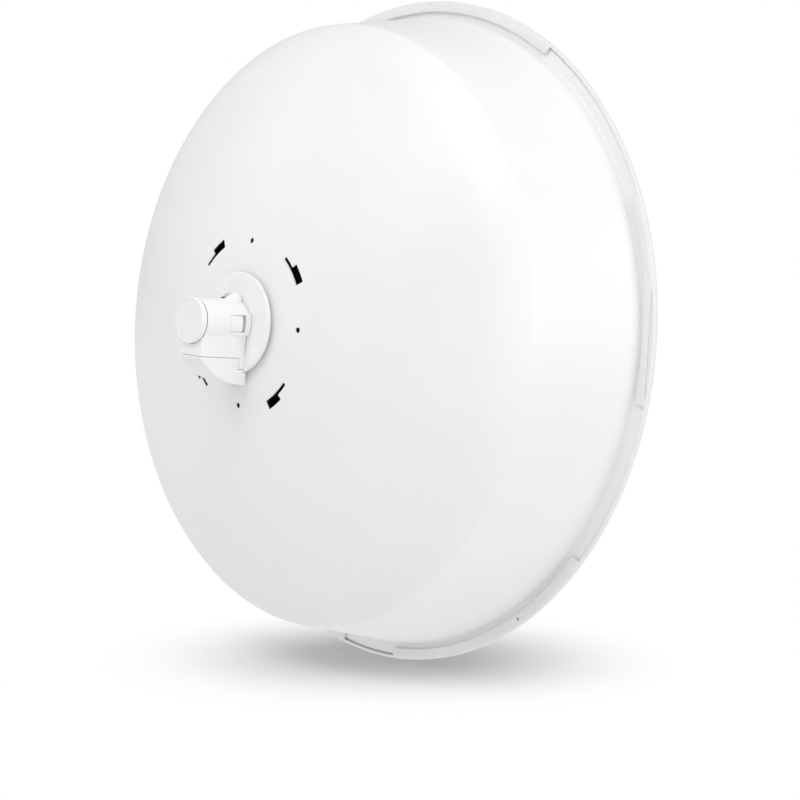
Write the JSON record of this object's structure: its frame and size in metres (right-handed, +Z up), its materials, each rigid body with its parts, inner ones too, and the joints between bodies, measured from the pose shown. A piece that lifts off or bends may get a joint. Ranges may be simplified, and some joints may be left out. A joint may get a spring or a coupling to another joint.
{
  "type": "dish antenna",
  "caption": "White parabolic dish antenna with a clip-on radome, a central rear radio housing with a slide-off cable door, and bayonet slots for a pole bracket.",
  "frame": {"origin": "centre of the bracket hole circle on the back of the dish", "axes": "+Y along the beam, out of the radome; +Z up; the rear housing points to -Y"},
  "size_m": [0.65, 0.3212, 0.65],
  "materials": {
    "dish_paint": "satin white powder coat",
    "radome_plastic": "fine moulded texture",
    "housing_plastic": "fine moulded texture, satin",
    "cap_plastic": "smooth satin",
    "inner_plastic": "plain moulded",
    "button_plastic": "dark moulded",
    "seal_foam": "closed cell foam",
    "gasket_rubber": "moulded rubber",
    "spring_steel": "drawn wire",
    "jack_metal": "plated shell",
    "contact_gold": "gold plated",
    "board_laminate": "solder mask over laminate",
    "component_black": "epoxy and sleeve",
    "can_steel": "tinned",
    "spreader_aluminium": "as extruded and spun",
    "coax_copper": "semi-rigid copper"
  },
  "bodies": {
    "antenna": {"reflector_dish": "dish_paint", "radome_cover": "radome_plastic", "radome_seal": "seal_foam", "housing_flange": "housing_plastic", "flange_gasket": "gasket_rubber", "lock_ring": "inner_plastic", "feed_bush": "inner_plastic", "rear_housing": "housing_plastic", "rear_cap": "cap_plastic", "cap_seal": "gasket_rubber", "release_spring": "spring_steel", "port_plate": "inner_plastic", "ethernet_jack": "jack_metal", "jack_contacts": "contact_gold", "radio_board": "board_laminate", "board_components": "component_black", "shield_can": "can_steel", "heat_spreader": "spreader_aluminium", "board_rails": "inner_plastic", "feed_tube": "radome_plastic", "tube_o_ring": "gasket_rubber", "feed_coax": "coax_copper", "feed_radiator": "contact_gold", "sub_reflector": "spreader_aluminium", "feed_cap": "radome_plastic"},
    "door": {"cable_door": "housing_plastic", "cable_grommet": "gasket_rubber"},
    "release_key": {"release_button": "button_plastic"},
    "reset_key": {"reset_button": "button_plastic"},
    "latch_right": {"side_latch_right": "housing_plastic"},
    "latch_left": {"side_latch_left": "housing_plastic"}
  },
  "joints": [
    {"name": "door_slide", "type": "slide", "parent": "antenna", "child": "door", "axis": [0, 0, -1], "range_m": [0, 0.06]},
    {"name": "release_press", "type": "slide", "parent": "antenna", "child": "release_key", "axis": [0, 0, -1], "range_m": [0, 0.0012], "stiffness_N_per_m": 400, "deforming": ["release_spring"]},
    {"name": "reset_press", "type": "slide", "parent": "antenna", "child": "reset_key", "axis": [0, 0, 1], "range_m": [0, 0.0006], "stiffness_N_per_m": 400},
    {"name": "latch_right_flex", "type": "hinge", "parent": "antenna", "child": "latch_right", "pos_m": [0.0198, -0.0313, 0], "axis": [0, 0, 1], "range_deg": [0, 4.5]},
    {"name": "latch_left_flex", "type": "hinge", "parent": "antenna", "child": "latch_left", "pos_m": [-0.0198, -0.0313, 0], "axis": [0, 0, -1], "range_deg": [0, 4.5]}
  ]
}
